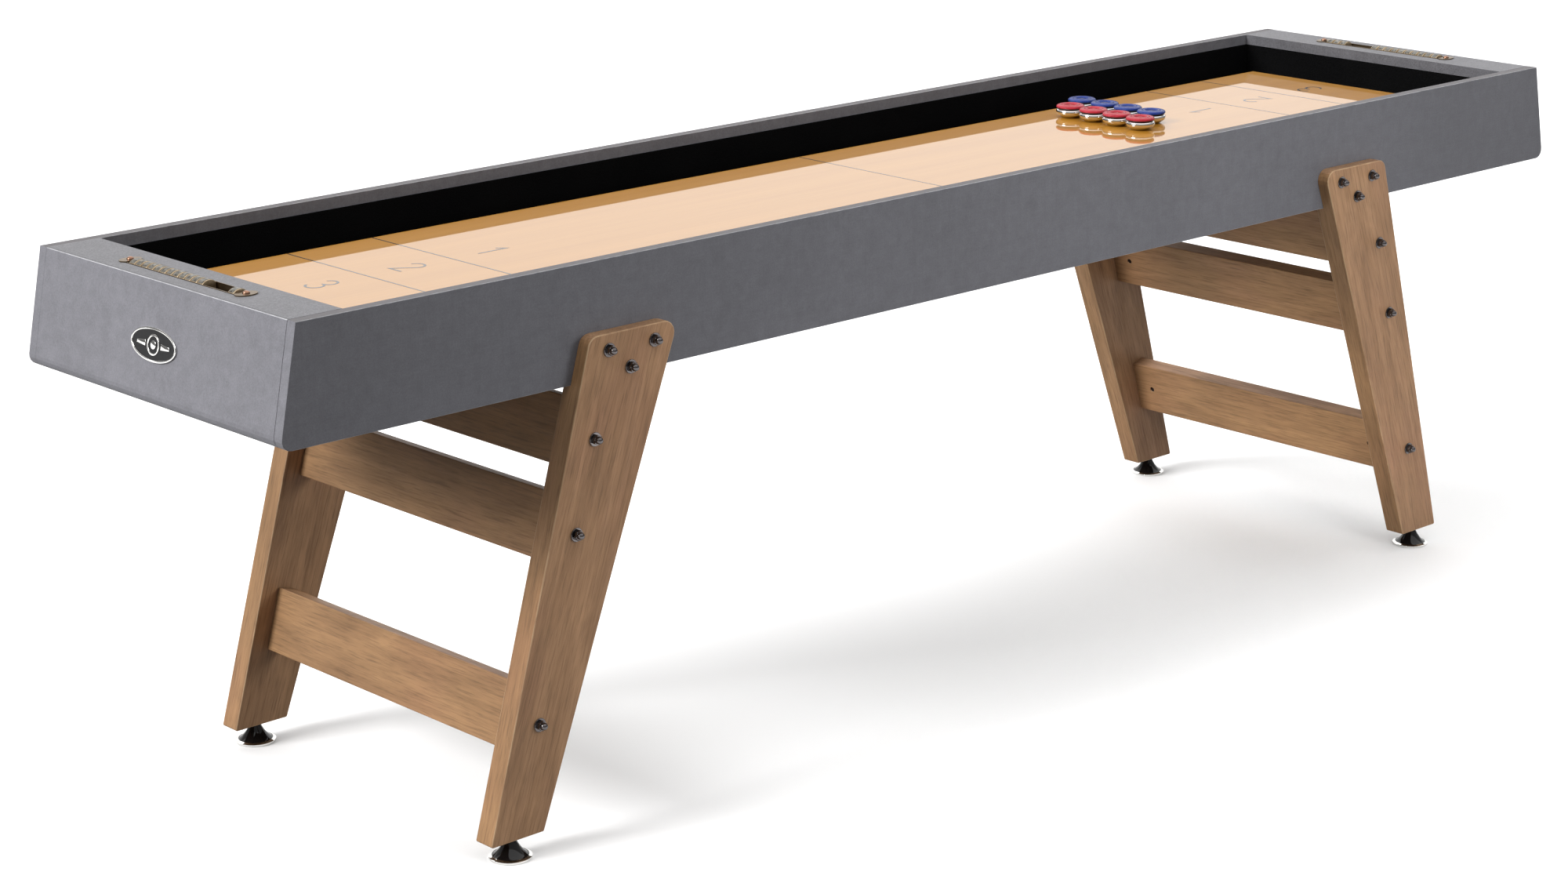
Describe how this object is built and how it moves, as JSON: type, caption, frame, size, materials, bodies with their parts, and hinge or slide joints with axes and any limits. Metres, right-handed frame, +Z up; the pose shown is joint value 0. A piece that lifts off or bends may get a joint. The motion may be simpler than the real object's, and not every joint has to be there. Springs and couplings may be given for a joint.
{
  "type": "shuffleboard table",
  "caption": "Shuffleboard table with a glossy wood playing field sunk in a grey cabinet, abacus scorers, splayed bolted wooden legs with stretchers, levelling feet and sliding pucks.",
  "frame": {"origin": "on the floor under the middle of the table, at the bottom centre of its box", "axes": "+X along the table towards the end without a badge, +Y across it towards the back side, +Z up"},
  "size_m": [2.7364, 0.6846, 0.8253],
  "materials": {
    "grey_laminate": "mottled blue-grey laminate, satin",
    "deck_laminate": "speckled light grey laminate, satin",
    "board_core": "raw particle board",
    "black_carpet": "short black ribbed carpet",
    "lacquered_field": "amber maple under thick gloss polymer",
    "brown_wood": "brown stained wood grain, satin",
    "black_nickel": "glossy black nickel plate",
    "bronze": "dark bronze plate",
    "score_tile": "aged tan brass",
    "steel": "bright drawn rod",
    "badge_metal": "chromed plate with black enamel",
    "red_puck": "gloss red cap on a chromed steel weight",
    "blue_puck": "gloss blue cap on a chromed steel weight"
  },
  "bodies": {
    "table": {"badge_plate": "badge_metal", "base_panel": "board_core", "bolt_left_back_inner": "black_nickel", "bolt_left_back_low": "black_nickel", "bolt_left_back_outer": "black_nickel", "bolt_left_front_inner": "black_nickel", "bolt_left_front_low": "black_nickel", "bolt_left_front_outer": "black_nickel", "bolt_right_back_inner": "black_nickel", "bolt_right_back_low": "black_nickel", "bolt_right_back_outer": "black_nickel", "bolt_right_front_inner": "black_nickel", "bolt_right_front_low": "black_nickel", "bolt_right_front_outer": "black_nickel", "carpet_liner": "black_carpet", "end_deck_left": "deck_laminate", "end_deck_right": "deck_laminate", "end_panel_left": "grey_laminate", "end_panel_right": "grey_laminate", "inner_wall_left": "board_core", "inner_wall_right": "board_core", "leg_left_back": "brown_wood", "leg_left_front": "brown_wood", "leg_right_back": "brown_wood", "leg_right_front": "brown_wood", "playfield": "lacquered_field", "playfield_batten_left": "board_core", "playfield_batten_middle": "board_core", "playfield_batten_right": "board_core", "score_rod_left": "steel", "score_rod_right": "steel", "score_tiles_left_a": "score_tile", "score_tiles_left_b": "score_tile", "score_tiles_right_a": "score_tile", "score_tiles_right_b": "score_tile", "score_tray_left": "bronze", "score_tray_right": "bronze", "side_panel_back": "grey_laminate", "side_panel_front": "grey_laminate", "stretcher_left_lower": "brown_wood", "stretcher_left_middle": "brown_wood", "stretcher_left_top": "brown_wood", "stretcher_right_lower": "brown_wood", "stretcher_right_middle": "brown_wood", "stretcher_right_top": "brown_wood"},
    "puck_red_1": {"puck_red_1": "red_puck"},
    "puck_red_2": {"puck_red_2": "red_puck"},
    "puck_red_3": {"puck_red_3": "red_puck"},
    "puck_red_4": {"puck_red_4": "red_puck"},
    "puck_blue_1": {"puck_blue_1": "blue_puck"},
    "puck_blue_2": {"puck_blue_2": "blue_puck"},
    "puck_blue_3": {"puck_blue_3": "blue_puck"},
    "puck_blue_4": {"puck_blue_4": "blue_puck"},
    "leveler_left_front": {"leveler_left_front": "black_nickel"},
    "leveler_left_back": {"leveler_left_back": "black_nickel"},
    "score_tile_left_moving": {"score_tile_left_moving": "score_tile"},
    "leveler_right_front": {"leveler_right_front": "black_nickel"},
    "leveler_right_back": {"leveler_right_back": "black_nickel"},
    "score_tile_right_moving": {"score_tile_right_moving": "score_tile"}
  },
  "joints": [
    {"name": "puck_red_1_slide", "type": "slide", "parent": "table", "child": "puck_red_1", "axis": [1, 0, 0], "range_m": [-1.7, 0]},
    {"name": "puck_red_2_slide", "type": "slide", "parent": "table", "child": "puck_red_2", "axis": [1, 0, 0], "range_m": [-1.7, 0]},
    {"name": "puck_red_3_slide", "type": "slide", "parent": "table", "child": "puck_red_3", "axis": [1, 0, 0], "range_m": [-1.7, 0]},
    {"name": "puck_red_4_slide", "type": "slide", "parent": "table", "child": "puck_red_4", "axis": [1, 0, 0], "range_m": [-1.7, 0]},
    {"name": "puck_blue_1_slide", "type": "slide", "parent": "table", "child": "puck_blue_1", "axis": [1, 0, 0], "range_m": [0, 0.49]},
    {"name": "puck_blue_2_slide", "type": "slide", "parent": "table", "child": "puck_blue_2", "axis": [1, 0, 0], "range_m": [0, 0.49]},
    {"name": "puck_blue_3_slide", "type": "slide", "parent": "table", "child": "puck_blue_3", "axis": [1, 0, 0], "range_m": [0, 0.49]},
    {"name": "puck_blue_4_slide", "type": "slide", "parent": "table", "child": "puck_blue_4", "axis": [1, 0, 0], "range_m": [0, 0.49]},
    {"name": "leveler_left_front_screw", "type": "slide", "parent": "table", "child": "leveler_left_front", "axis": [0, 0, -1], "range_m": [0, 0.02]},
    {"name": "leveler_left_back_screw", "type": "slide", "parent": "table", "child": "leveler_left_back", "axis": [0, 0, -1], "range_m": [0, 0.02]},
    {"name": "score_tile_left_slide", "type": "slide", "parent": "table", "child": "score_tile_left_moving", "axis": [0, -1, 0], "range_m": [0, 0.057]},
    {"name": "leveler_right_front_screw", "type": "slide", "parent": "table", "child": "leveler_right_front", "axis": [0, 0, -1], "range_m": [0, 0.02]},
    {"name": "leveler_right_back_screw", "type": "slide", "parent": "table", "child": "leveler_right_back", "axis": [0, 0, -1], "range_m": [0, 0.02]},
    {"name": "score_tile_right_slide", "type": "slide", "parent": "table", "child": "score_tile_right_moving", "axis": [0, 1, 0], "range_m": [0, 0.057]}
  ]
}
